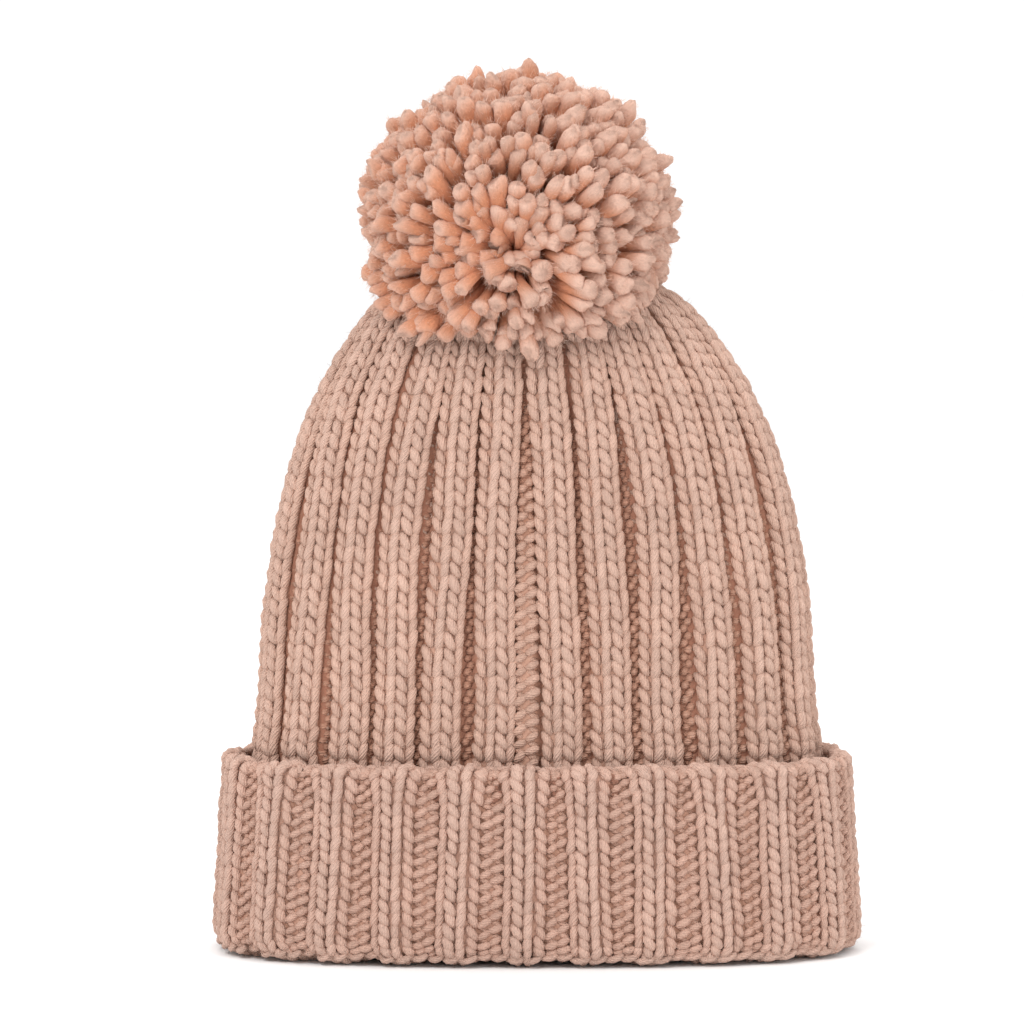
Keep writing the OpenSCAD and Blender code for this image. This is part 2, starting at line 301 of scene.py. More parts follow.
def outer_layout(v):
    """Centres (as u) and widths of the channels and ribs at each v. Rib i follows channel i."""
    girth = outer_cloth.girth_at(v)[:, None]
    spare = (girth - RIBS * RIB_W) / (body_girth - RIBS * RIB_W)
    chan = channel[None, :] * np.clip(spare, CLOSED_SHARE * girth / body_girth, None)
    rib = (girth - chan.sum(1, keepdims=True)) / RIBS
    start = np.cumsum(chan + rib, 1) - chan - rib
    first = FIRST_CHANNEL * girth - chan[:, :1] / 2
    drift = 0.8 * np.sin(v[:, None] / 31 + np.arange(RIBS)[None] * 1.9)
    drift += 0.5 * np.sin(v[:, None] / 17 + np.arange(RIBS)[None] * 4.1)
    drift *= np.clip(girth / body_girth, 0, 1)
    chan_mid = (first + start + chan / 2) / girth
    rib_mid = (first + start + chan + rib / 2 + drift) / girth
    shape = rib_mid.shape
    return chan_mid, np.broadcast_to(chan, shape), rib_mid, np.broadcast_to(rib, shape)


# Share of its pitch that a rib of the other face takes
INSIDE_RIB_SHARE = 0.6
CUFF_RIB_SHARE = 0.67
EDGE_RIB_SHARE = 0.86
GATHER_RIB_SHARE = 0.9
# Length over which the cuff's ribs widen into its edge
EDGE_BLEND = 12


def inner_layout(v):
    """The same for the other face, where channel i follows rib i."""
    girth = inner_cloth.girth_at(v)[:, None]
    up = np.where(v < INSIDE_END, 1.0, 0.0)[:, None]
    into_rim = np.clip((v - INSIDE_END) / (RIM_END - INSIDE_END), 0, 1)[:, None]
    chan_mid = outer_layout(np.full_like(v, BODY_V))[0]
    # inside, the ribs back the outer channels, and on the cuff they are even
    even = FIRST_CHANNEL + np.arange(RIBS)[None] / RIBS
    mid = chan_mid + (even - chan_mid) * into_rim
    share = INSIDE_RIB_SHARE + (CUFF_RIB_SHARE - INSIDE_RIB_SHARE) * into_rim
    near_edge = np.clip((v - CUFF_END + EDGE_BLEND) / EDGE_BLEND, 0, 1)[:, None] ** 1.5
    share = share + (EDGE_RIB_SHARE - share) * near_edge
    closing = np.clip(1 - girth / body_girth * 1.2, 0, 1) * up
    share = share + (GATHER_RIB_SHARE - share) * closing
    nxt = join([mid[:, 1:], mid[:, :1] + 1], 1)
    prev = join([mid[:, -1:] - 1, mid[:, :-1]], 1)
    pitch = (nxt - prev) / 2
    rib_w = pitch * share * girth
    drift = 0.5 * np.sin(v[:, None] / 23 + np.arange(RIBS)[None] * 2.7)
    drift *= np.clip(girth / body_girth, 0, 1)
    rib_c = mid + drift / girth
    nxt_c = join([rib_c[:, 1:], rib_c[:, :1] + 1], 1)
    nxt_w = join([rib_w[:, 1:], rib_w[:, :1]], 1)
    chan_w = (nxt_c - rib_c) * girth - (rib_w + nxt_w) / 2
    chan_c = (rib_c + nxt_c) / 2 + (rib_w - nxt_w) / 4 / girth
    return chan_c, chan_w, rib_c, rib_w


# ---- Meshes ----
def new_mesh(name, verts, faces4, caps, uv4, uv_caps, values):
    """A mesh of quads, and of caps that all have as many corners, from arrays."""
    mesh = bpy.data.meshes.new(name)
    loops = [faces4.reshape(-1)]
    counts = [np.full(len(faces4), 4)]
    uvs = [uv4.reshape(-1, 2)]
    if len(caps):
        loops.append(caps.reshape(-1))
        counts.append(np.full(len(caps), caps.shape[1]))
        uvs.append(uv_caps.reshape(-1, 2))
    loops = join(loops).astype(np.int32)
    counts = join(counts)
    starts = join([[0], np.cumsum(counts)[:-1]]).astype(np.int32)
    mesh.vertices.add(len(verts))
    mesh.vertices.foreach_set("co", (verts * MM).astype(np.float32).reshape(-1))
    mesh.loops.add(len(loops))
    mesh.loops.foreach_set("vertex_index", loops)
    mesh.polygons.add(len(counts))
    mesh.polygons.foreach_set("loop_start", starts)
    mesh.polygons.foreach_set("use_smooth", np.ones(len(counts), bool))
    layer = mesh.uv_layers.new(name="yarn")
    layer.data.foreach_set("uv", join(uvs).astype(np.float32).reshape(-1))
    for key, value in values.items():
        attribute = mesh.attributes.new(key, "FLOAT", "POINT")
        attribute.data.foreach_set("value", value.astype(np.float32).reshape(-1))
    mesh.update(calc_edges=True)
    return mesh


def add_piece(name, mesh, body, look, *nodes):
    """Put a mesh on a body, with the material in look. The slot in look is not used."""
    slot, material = look
    piece = bpy.data.objects.new(name, mesh)
    link(piece)
    mesh.materials.append(material)
    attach(piece, body)
    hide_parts(*nodes)


# How far the plies swell the yarn, and turn from one ring of a tube to the next
PLY_SWELL, PLY_TURN = 0.07, 0.45
# Shares by which a slanted cut moves a tube's last rings
CUT_SHARES = (1.0, 1.0, 0.7)
# A tube starts somewhere along this length of the fibres' pattern
PATTERN_LENGTH = 40


class Yarn:
    """Tubes of yarn, gathered up as arrays and made into one mesh."""

    def __init__(self):
        self.parts = []

    def add(self, centre, radius, up, sides, depth=None, lumps=0.0, lobes=0, slant=0.0):
        """centre (N,K,3), radius (N,K), up (N,K,3); depth (N,K) is the centre's depth, which sets
        its painted shade. lumps roughens the surface, lobes shows the plies, and slant cuts the
        ends askew."""
        centre = np.asarray(centre, float)
        n, k = centre.shape[:2]
        if n == 0:
            return
        tangent = np.gradient(centre, axis=1)
        tangent /= np.linalg.norm(tangent, axis=2, keepdims=True) + 1e-9
        side = np.cross(tangent, up)
        side /= np.linalg.norm(side, axis=2, keepdims=True) + 1e-9
        lift = np.cross(side, tangent)
        ang = TAU * (np.arange(sides) + 0.5) / sides - math.pi / 2
        cs, sn = np.cos(ang)[None, None, :, None], np.sin(ang)[None, None, :, None]
        ring = cs * side[:, :, None] + sn * lift[:, :, None]
        swell = np.ones((n, k, sides))
        if lumps:
            swell = swell + lumps * rng.normal(size=(n, k, sides))
        if lobes:
            turn_at = rng.random((n, 1, 1)) * TAU + np.arange(k)[None, :, None] * PLY_TURN
            swell = swell + PLY_SWELL * np.cos(lobes * ang[None, None] + turn_at)
        verts = centre[:, :, None] + (radius[:, :, None] * swell)[..., None] * ring
        if slant:
            way = rng.random((n, 1)) * TAU
            tilt = slant * np.abs(rng.normal(size=(n, 1)))
            shift = tilt * np.cos(ang[None] - way) * radius[:, -3][:, None]
            for back, share in enumerate(CUT_SHARES, 1):
                verts[:, -back] += tangent[:, -back][:, None] * (shift * share)[..., None]
        # painted shade: each vertex's depth sets how dark its colour is, and a tube's underside
        # lies deeper, so it is painted darker
        if depth is None:
            shade_dep = np.zeros((n, k, sides))
        else:
            shade_dep = depth[:, :, None] - radius[:, :, None] * sn[..., 0]
        tone = rng.random(n)
        seg = np.linalg.norm(np.diff(centre, axis=1), axis=2)
        along = join([np.zeros((n, 1)), np.cumsum(seg, 1)], 1)
        along = along + rng.random((n, 1)) * PATTERN_LENGTH
        self.parts.append((verts, shade_dep, tone, along))

    def piece(self, name, body, look, node):
        add_piece(name, self.mesh(name), body, look, node)

    def mesh(self, name):
        verts, quads, uv4, shade_deps, tones = [], [], [], [], []
        caps, uvc = {}, {}
        base = 0
        for v, shade_dep, tone, along in self.parts:
            n, k, m = v.shape[:3]
            index = base + np.arange(n * k * m).reshape(n, k, m)
            nxt = np.roll(index, -1, 2)
            q = np.stack([index[:, :-1], index[:, 1:], nxt[:, 1:], nxt[:, :-1]], -1)
            quads.append(q.reshape(-1, 4))
            around = np.arange(m) / m
            a0 = np.broadcast_to(along[:, :-1, None], (n, k - 1, m))
            a1 = np.broadcast_to(along[:, 1:, None], (n, k - 1, m))
            r0 = np.broadcast_to(around, (n, k - 1, m))
            r1 = r0 + 1 / m
            corners = [np.stack(at, -1) for at in ((a0, r0), (a1, r0), (a1, r1), (a0, r1))]
            uv4.append(np.stack(corners, 3).reshape(-1, 4, 2))
            both = join([index[:, 0], index[:, -1, ::-1]], 0)
            caps.setdefault(m, []).append(both)
            first = np.broadcast_to(along[:, :1], (n, m))
            last = np.broadcast_to(along[:, -1:], (n, m))
            ends = join([first, last], 0)
            uvc.setdefault(m, []).append(np.stack([ends, np.broadcast_to(around, ends.shape)], -1))
            verts.append(v.reshape(-1, 3))
            shade_deps.append(shade_dep.reshape(-1))
            tones.append(np.repeat(tone, k * m))
            base += n * k * m
        # new_mesh takes caps of one size, so the smaller ones are cut into quads
        sides = max(caps)
        cap_faces, cap_uv = [], []
        for m, groups in caps.items():
            for face, uv in zip(groups, uvc[m]):
                if m == sides:
                    cap_faces.append(face)
                    cap_uv.append(uv)
                else:
                    fan, fan_uv = fan_of(face, uv)
                    quads.append(fan)
                    uv4.append(fan_uv)
        return new_mesh(
            name,
            join(verts),
            join(quads),
            join(cap_faces),
            join(uv4),
            join(cap_uv),
            {"painted_shade_depth": join(shade_deps), "yarn_tone": join(tones)},
        )


def fan_of(face, uv):
    """An even-sided cap as a strip of quads."""
    m = face.shape[1]
    fans, uvs = [], []
    for j in range(1, m // 2):
        pick = [j - 1, j, m - 1 - j, m - j]
        fans.append(face[:, pick])
        uvs.append(uv[:, pick])
    return join(fans), join(uvs)


# ---- Stitches ----
# A leg of a stitch: slant in degrees, length in rows, thickness, dive of its ends, and how much
# and how suddenly they thin
LOZENGE = {"slant": -25, "length": 1.34, "r": 1.84, "dive": 2.1, "end": 0.30, "power": 2.4}
CORD = {"slant": 6, "length": 1.36, "r": 1.76, "dive": 0.95, "end": 0.55, "power": 3.0}
# Columns of a rib: place across it, height, kind of leg
COLUMNS = (
    (-5.25, -1.3, LOZENGE),
    (-1.45, 0.0, CORD),
    (2.30, 0.0, LOZENGE),
    (5.70, -1.5, CORD),
)
BODY_ROW, CUFF_ROW = 5.16, 4.39
# Bumps of a channel: column, slant in degrees, share of a row, extra depth, thickness
PURLS = (
    (-1, 30, -0.25, 0.0, 1.62),
    (1, 30, 0.25, 0.0, 1.62),
    (-1, -28, 0.22, 1.1, 1.45),
    (1, -28, -0.28, 1.1, 1.45),
)
# Depth of a bump in a closed channel, its rise with the width, and how much deeper its painted
# shade is
PURL_DEPTH, PURL_RISE, PURL_SHADE = -7.3, 0.52, 1.25
WIDEST_CHANNEL = 8
# The cuff's channels are at least this wide for their depth
CUFF_CHANNEL = 6.5
# Coarse stitches stand this much prouder, and are this much thinner
COARSE_PROUD, COARSE_THIN = 1.0, 0.85
# Rings and sides of the tubes of legs and of bumps
FINE_LEG, FINE_PURL = (7, 8), (5, 8)
COARSE_LEG, COARSE_PURL = (4, 6), (4, 6)
HAIRS, HAIR_R = 2, 0.05
HAIR_UP = np.array([0.2, 0.5, 0.8])


def swept(k):
    """Places from -1 to 1, closer together at the ends."""
    return -np.cos(math.pi * np.linspace(0, 1, k))


def blunt(w):
    """Thickness of a short stitch along its length."""
    return 0.4 + 0.6 * (1 - np.abs(w) ** 3) ** 0.5


def add_hairs(yarn, centre, radius, normal):
    """Fine hairs that start inside each stitch and stand off it."""
    count, k = radius.shape
    for _ in range(HAIRS):
        pick = (np.arange(count), rng.integers(1, k - 1, count))
        away = normal[pick] * rng.uniform(0.5, 1.2, (count, 1))
        away = unit(away + 0.45 * rng.normal(size=(count, 3)))
        reach = (radius[pick] + rng.uniform(0.4, 1.8, count))[:, None]
        ends = np.stack([centre[pick] + 0.3 * away, centre[pick] + reach * away], 1)
        up = np.cross(away, HAIR_UP)[:, None] * np.ones((1, 2, 1))
        hair_r = HAIR_R * np.array([[1.0, 0.4]]) * np.ones((count, 1))
        yarn.add(ends, hair_r, up, 4, depth=np.zeros((count, 2)))


def lay_stitches(yarn, cloth, layout, rows, pitch, ribs, flip, fine):
    """Stitches of the given rows and ribs. flip turns the pattern by half a turn."""
    girth = cloth.girth_at(rows)[:, None]
    chan_c, chan_w, rib_c, rib_w = (a[:, list(ribs)] for a in layout(rows))
    sign = -1.0 if flip else 1.0
    shape = rib_c.shape
    rows2 = np.broadcast_to(rows[:, None], shape)
    pitch2 = np.broadcast_to(pitch[:, None], shape)
    odd = np.broadcast_to((np.arange(len(rows)) % 2 * 2 - 1)[:, None], shape)
    wide = rib_w / RIB_W
    high = pitch2 * cloth.look(cloth.row_stretch, rib_c, rows2) / BODY_ROW
    thick = np.clip(np.minimum(wide, 1.15), 0.15, 1.15) * np.clip(high, 0.3, 1.0) ** 0.5
    proud = 0.0 if fine else COARSE_PROUD
    thick = thick if fine else thick * COARSE_THIN

    def lay(centre_u, s, t, h, r, sides, shade):
        """Tubes at s across and t along from their centres, at height h."""
        k = s.shape[-1]
        p, n = cloth.at(centre_u[..., None] + s / girth[..., None], rows2[..., None] + t, h)
        p, r, n = p.reshape(-1, k, 3), r.reshape(-1, k), n.reshape(-1, k, 3)
        # painted shade: the colour darkens with the depth under the cloth, shade times over
        yarn.add(p, r, n, sides, depth=-shade * h.reshape(-1, k))
        return p, r, n

    k, sides = FINE_LEG if fine else COARSE_LEG
    w = swept(k)
    for place, height, kind in COLUMNS:
        j = rng.normal(size=(5,) + shape)
        slant = np.radians(kind["slant"] + 3.0 * j[0] + 2.0 * odd)
        half = kind["length"] * pitch2 * (1 + 0.04 * j[1]) / 2
        s0 = sign * place * wide + 0.16 * j[2] * wide
        t0 = (0.22 * j[3] + 0.18 * odd) * pitch2 / BODY_ROW
        s = s0[..., None] + (half * np.tan(slant) * wide)[..., None] * w
        t = t0[..., None] + half[..., None] * w
        dive = thick[..., None] * (kind["r"] + kind["dive"] * np.abs(w) ** 2.4)
        h = (height * np.clip(wide, 0, 1) + proud + 0.14 * j[4])[..., None] - dive
        r = kind["r"] * (1 + 0.05 * j[1] + 0.03 * odd) * thick
        prof = kind["end"] + (1 - kind["end"]) * (1 - np.abs(w) ** kind["power"]) ** 0.6
        laid = lay(rib_c, s, t, h, r[..., None] * prof, sides, 1)
        if fine:
            add_hairs(yarn, *laid)

    k, sides = FINE_PURL if fine else COARSE_PURL
    w = swept(k)
    for column, tilt, shift, deeper, bump_r in PURLS[: 4 if fine else 2]:
        j = rng.normal(size=(4,) + shape)
        room = np.clip(chan_w, 1.5, None)
        off = column * np.clip(0.25 * room, 0.6, 2.2)
        half = np.clip(0.34 * room, 1.5, 2.7) * (1 + 0.06 * j[0])
        slant = math.radians(tilt) + 0.10 * j[1]
        s = off[..., None] + (half * np.cos(slant))[..., None] * w
        t = (pitch2 * shift + 0.2 * j[2])[..., None] + (half * np.sin(slant))[..., None] * w
        open_w = np.clip(chan_w, CUFF_CHANNEL if flip else 0, WIDEST_CHANNEL)
        sink = PURL_DEPTH - deeper + PURL_RISE * open_w + 0.15 * j[3]
        scale = np.clip(thick, 0.3, 1)
        h = (sink * scale)[..., None] - 1.2 * scale[..., None] * np.abs(w) ** 2
        r = bump_r * (1 + 0.05 * j[0]) * scale * np.clip(pitch2 / BODY_ROW, 0.9, 1)
        r = r[..., None] * blunt(w)
        lay(chan_c, s, t, h, r, sides, PURL_SHADE)


def row_places(end, pitch_of):
    """Middles and heights of the rows up to an end of the path."""
    v, rows, pitches = 0, [], []
    while v < end:
        p = pitch_of(v)
        rows.append(v + p / 2)
        pitches.append(p)
        v += p
    return np.array(rows), np.array(pitches)


END_ROOM = 2
outer_rows, outer_pitch = row_places(outer_cloth.length - END_ROOM, lambda v: BODY_ROW)
inner_rows, inner_pitch = row_places(
    inner_cloth.length - END_ROOM, lambda v: BODY_ROW if v < INSIDE_END else CUFF_ROW
)


# ---- The backing that closes the gaps behind the stitches ----
CORE_T = 0.5
CORE_STEP = 4.0
# Depth at which the knit's painted shade is darkest
KNIT_SHADE_DEPTH = 7.5
# Backing heights: under a rib, at its flank, at its foot; a channel's depth and its rise with width
OUTER_CORE = (-2.4, -3.5, -5.6, -7.6, 0.52)
CUFF_CORE = (-2.7, -3.6, -4.6, -7.9, 0.52)
INSIDE_CORE = (-1.0, -1.4, -3.0, -4.2, 0.0)
# Height under which the backing darkens with painted shade
CORE_SHADE = 1.5


def core_mesh(name, cloth, layout, v0, v1, shape):
    """A thin closed sheet behind the stitches, waved with the ribs."""
    top_h, flank_h, foot_h, chan_h, chan_rise = shape
    v = np.arange(v0, v1 + 0.1, (v1 - v0) / max(2, round((v1 - v0) / CORE_STEP)))
    chan_c, chan_w, rib_c, rib_w = layout(v)
    girth = cloth.girth_at(v)[:, None]
    shrink = np.clip(rib_w / RIB_W, 0.2, 1)
    outer = layout is outer_layout
    over_rib, over_channel = [], []
    for x, h in ((-1.0, foot_h), (-0.75, flank_h), (0, top_h), (0.75, flank_h), (1.0, foot_h)):
        over_rib.append((rib_c + x * rib_w / 2 / girth, h * shrink))
    open_w = np.clip(chan_w, 0 if outer else CUFF_CHANNEL, WIDEST_CHANNEL)
    for x in (-0.25, 0.0, 0.25):
        place = chan_c + x * np.clip(chan_w, 1, None) / girth
        over_channel.append((place, (chan_h + chan_rise * open_w) * shrink))
    # channel i comes before rib i on the outer face, and after it on the other one
    places, heights = zip(*(over_channel + over_rib if outer else over_rib + over_channel))
    u = np.stack(places, 2).reshape(len(v), -1)
    h = np.stack(heights, 2).reshape(len(v), -1)
    vv = np.broadcast_to(v[:, None], u.shape)
    top, _ = cloth.at(u, vv, h)
    low, _ = cloth.at(u, vv, h - CORE_T)
    rows, cols = u.shape
    verts = join([top.reshape(-1, 3), low.reshape(-1, 3)])
    a = np.arange(rows * cols).reshape(rows, cols)
    b = a + rows * cols
    a1, b1 = np.roll(a, -1, 1), np.roll(b, -1, 1)
    faces = [
        np.stack([a[:-1], a1[:-1], a1[1:], a[1:]], -1).reshape(-1, 4),
        np.stack([b[:-1], b[1:], b1[1:], b1[:-1]], -1).reshape(-1, 4),
        np.stack([a[0], b[0], b1[0], a1[0]], -1),
        np.stack([a[-1], a1[-1], b1[-1], b[-1]], -1),
    ]
    faces = join(faces)
    uv = np.zeros((len(faces), 4, 2))
    # painted shade: the lower the backing lies, the darker its colour
    depth = np.clip(CORE_SHADE - h.reshape(-1), 0, KNIT_SHADE_DEPTH)
    # the far side gets the darkest painted shade, or it could show as a pale strip through the
    # other face
    depth = join([depth, np.full_like(depth, KNIT_SHADE_DEPTH)])
    values = {"painted_shade_depth": depth, "yarn_tone": depth * 0}
    return new_mesh(name, verts, faces, np.zeros((0, 4), int), uv, None, values)


# ---- Materials ----
def srgb(r, g, b):
    out = []
    for c in (r, g, b):
        c = c / 255
        out.append(c / 12.92 if c <= 0.04045 else ((c + 0.055) / 1.055) ** 2.4)
    return (*out, 1.0)


# Plies: turns of a groove per unit of the yarn's length, and turns round its girth
PLY_PITCH, PLY_ROUND = 0.62, 9.0
# Place of the deep painted shade on the ramp from the surface (0) to the gaps (1)
DEEP_SHADE_AT = 0.78


def yarn_material(
    name, colours, shade_depth_end, sheen, ply=0.28, mid_at=0.5, bump_depth=0.0006, grain=(0.55, 9.0)
):
    """Soft plied wool, with painted shade that darkens it from the surface to the gaps, and fibres
    and plies as bump.
    """
    light, mid, deep_shade, gap_shade = colours
    mat = bpy.data.materials.new(name)
    mat.use_nodes = True
    nodes, links = mat.node_tree.nodes, mat.node_tree.links
    nodes.clear()

    def add_node(kind, **settings):
        node = nodes.new("ShaderNode" + kind)
        for key, value in settings.items():
            node.inputs[key.replace("_", " ")].default_value = value
        return node

    def noise(source, **settings):
        node = add_node("TexNoise", **settings)
        links.new(source, node.inputs["Vector"])
        return node.outputs["Fac"]

    def ranged(source, **settings):
        node = add_node("MapRange", **settings)
        links.new(source, node.inputs["Value"])
        return node.outputs["Result"]

    def maths(operation, *terms):
        """A Math node over sockets and numbers."""
        node = nodes.new("ShaderNodeMath")
        node.operation = operation
        for socket, term in zip(node.inputs, terms):
            if isinstance(term, float):
                socket.default_value = term
            else:
                links.new(term, socket)
        return node.outputs["Value"]

    out = nodes.new("ShaderNodeOutputMaterial")
    shader = add_node("BsdfPrincipled", Roughness=0.88, Specular_IOR_Level=0.15)
    shader.inputs["Sheen Weight"].default_value = sheen
    shader.inputs["Sheen Roughness"].default_value = 0.45
    shader.inputs["Sheen Tint"].default_value = light
    links.new(shader.outputs["BSDF"], out.inputs["Surface"])

    # painted shade: by its depth under the surface, the colour runs from light through mid and deep
    # shade to the darkest shade in the gaps
    depth = nodes.new("ShaderNodeAttribute")
    depth.attribute_name = "painted_shade_depth"
    shade_ramp = nodes.new("ShaderNodeValToRGB")
    shade_ramp.color_ramp.elements[0].color = light
    shade_ramp.color_ramp.elements[1].color = gap_shade
    for place, colour in ((DEEP_SHADE_AT, deep_shade), (mid_at, mid)):
        shade_ramp.color_ramp.elements.new(place).color = colour
    links.new(ranged(depth.outputs["Fac"], From_Max=shade_depth_end), shade_ramp.inputs["Fac"])

    coord = nodes.new("ShaderNodeTexCoord")
    uv = nodes.new("ShaderNodeUVMap")
    uv.uv_map = "yarn"
    stretch = add_node("Mapping", Scale=(*grain, 1.0))
    links.new(uv.outputs["UV"], stretch.inputs["Vector"])
    fibre = noise(stretch.outputs["Vector"], Scale=2.2, Detail=5.0, Roughness=0.7)
    fluff = noise(coord.outputs["Object"], Scale=900.0, Detail=4.0, Roughness=0.65)
    blotch = noise(coord.outputs["Object"], Scale=28.0)

    tone = nodes.new("ShaderNodeAttribute")
    tone.attribute_name = "yarn_tone"
    value = ranged(tone.outputs["Fac"], To_Min=0.93, To_Max=1.06)
    for source, low, high in ((fibre, 0.90, 1.08), (fluff, 0.93, 1.07), (blotch, 0.96, 1.04)):
        shade = ranged(source, From_Min=0.3, From_Max=0.7, To_Min=low, To_Max=high)
        value = maths("MULTIPLY", value, shade)
    scale = nodes.new("ShaderNodeVectorMath")
    scale.operation = "SCALE"
    links.new(shade_ramp.outputs["Color"], scale.inputs[0])
    links.new(value, scale.inputs["Scale"])
    links.new(scale.outputs["Vector"], shader.inputs["Base Color"])

    # plies: diagonal grooves round the yarn, from its own length and girth
    separate = nodes.new("ShaderNodeSeparateXYZ")
    links.new(uv.outputs["UV"], separate.inputs["Vector"])
    round_yarn = maths("MULTIPLY", separate.outputs["Y"], PLY_ROUND)
    turns = maths("MULTIPLY_ADD", separate.outputs["X"], PLY_PITCH, round_yarn)
    wave = maths("SINE", maths("MULTIPLY", turns, TAU))
    bump = add_node("Bump", Strength=1.0, Distance=bump_depth)
    relief = maths("MULTIPLY_ADD", wave, ply, maths("ADD", fibre, fluff))
    links.new(relief, bump.inputs["Height"])
    links.new(bump.outputs["Normal"], shader.inputs["Normal"])
    return mat


# Each runs from the yarn's own colour at the surface into painted shade: light, mid, deep shade,
# and the darkest shade in the gaps
BODY = (srgb(210, 175, 158), srgb(206, 167, 148), srgb(188, 141, 119), srgb(160, 112, 92))
CUFF = (srgb(208, 174, 158), srgb(205, 165, 147), srgb(192, 148, 127), srgb(166, 118, 99))
SEAM = (srgb(200, 152, 131), srgb(190, 142, 120), srgb(170, 120, 98), srgb(120, 76, 58))
TIE = (srgb(196, 138, 112), srgb(185, 125, 98), srgb(150, 90, 66), srgb(120, 66, 46))
POMPOM = (srgb(223, 183, 164), srgb(214, 144, 109), srgb(186, 99, 61), srgb(150, 66, 38))
# painted light: the fibres are given a paler colour than the strands, to look lit through
FLUFF = (srgb(244, 208, 189),) * 4
KNIT_SHEEN = 0.2
# Depth into the pompom at which its painted shade is darkest
POMPOM_SHADE_DEPTH = 30.0
knit_mat = yarn_material("body_wool", BODY, KNIT_SHADE_DEPTH, KNIT_SHEEN)
cuff_mat = yarn_material("cuff_wool", CUFF, KNIT_SHADE_DEPTH, KNIT_SHEEN)
seam_mat = yarn_material("seam_wool", SEAM, KNIT_SHADE_DEPTH, KNIT_SHEEN)
tie_mat = yarn_material("tie_wool", TIE, KNIT_SHADE_DEPTH, KNIT_SHEEN, ply=0.6)
STRAND = {"ply": 0.0, "mid_at": 0.26, "bump_depth": 0.0010, "grain": (0.13, 13.0)}
pompom_mat = yarn_material("pompom_wool", POMPOM, POMPOM_SHADE_DEPTH, 0.35, **STRAND)
fluff_mat = yarn_material("pompom_fluff", FLUFF, POMPOM_SHADE_DEPTH, 0.6, ply=0.0, bump_depth=0.0001)

# ---- Knit pieces ----
HALVES = (("right", range(0, 12)), ("left", range(12, 24)))
THIRDS = (("right", range(0, 8)), ("back", range(8, 16)), ("left", range(16, 24)))
WHOLE = (("all", range(0, RIBS)),)
BODY_LOOK = ("body_yarn", knit_mat)
CUFF_LOOK = ("cuff_yarn", cuff_mat)
SEAM_LOOK = ("seam_yarn", seam_mat)
TIE_LOOK = ("tie_yarn", tie_mat)
OUTER_FACE, OTHER_FACE = (outer_cloth, outer_layout), (inner_cloth, inner_layout)
EDGE_START = CUFF_END - 4

in_crown = outer_rows > CROWN_START
turns = (0, CROWN_IN_END, INSIDE_END, RIM_END, EDGE_START, math.inf)
in_order = [(inner_rows >= lo) & (inner_rows < hi) for lo, hi in zip(turns, turns[1:])]
is_crown_in, is_inside, is_rim, is_cuff, is_edge = in_order
for prefix, face, keep, fine, look, node, parts in (
    ("body_rib_stitches", OUTER_FACE, ~in_crown, True, BODY_LOOK, "body_knit", THIRDS),
    ("crown_rib_stitches", OUTER_FACE, in_crown, True, BODY_LOOK, "crown_knit", THIRDS),
    ("body_inside_stitches", OTHER_FACE, is_inside, False, BODY_LOOK, "body_knit", HALVES),
    ("crown_inside_stitches", OTHER_FACE, is_crown_in, False, BODY_LOOK, "crown_knit", WHOLE),
    ("rim_stitches", OTHER_FACE, is_rim, True, CUFF_LOOK, "rim_fold", WHOLE),
    ("cuff_rib_stitches", OTHER_FACE, is_cuff, True, CUFF_LOOK, "cuff_panel", HALVES),
    ("cast_on_edge_stitches", OTHER_FACE, is_edge, True, CUFF_LOOK, "cuff_cast_on_edge", WHOLE),
):
    flip = face is OTHER_FACE
    rows, pitch = (inner_rows, inner_pitch) if flip else (outer_rows, outer_pitch)
    for part, ribs in parts:
        yarn = Yarn()
        lay_stitches(yarn, *face, rows[keep], pitch[keep], ribs, flip, fine)
        yarn.piece(f"{prefix}_{part}", "hat", look, node)

outer_end, other_end = outer_cloth.length - 1, inner_cloth.length - 1
for name, face, v0, v1, shape, node in (
    ("body_backing", OUTER_FACE, 0, CROWN_START, OUTER_CORE, "body_knit"),
    ("crown_backing", OUTER_FACE, CROWN_START, outer_end, OUTER_CORE, "crown_knit"),
    ("crown_inside_backing", OTHER_FACE, 0, CROWN_IN_END, INSIDE_CORE, "crown_knit"),
    ("body_inside_backing", OTHER_FACE, CROWN_IN_END, INSIDE_END, INSIDE_CORE, "body_knit"),
    ("rim_backing", OTHER_FACE, INSIDE_END, RIM_END, CUFF_CORE, "rim_fold"),
    ("cuff_backing", OTHER_FACE, RIM_END, EDGE_START, CUFF_CORE, "cuff_panel"),
    ("cast_on_edge_backing", OTHER_FACE, EDGE_START, other_end, CUFF_CORE, "cuff_cast_on_edge"),
):
    look = CUFF_LOOK if shape is CUFF_CORE else BODY_LOOK
    add_piece(name, core_mesh(name, *face, v0, v1, shape), "hat", look, node)


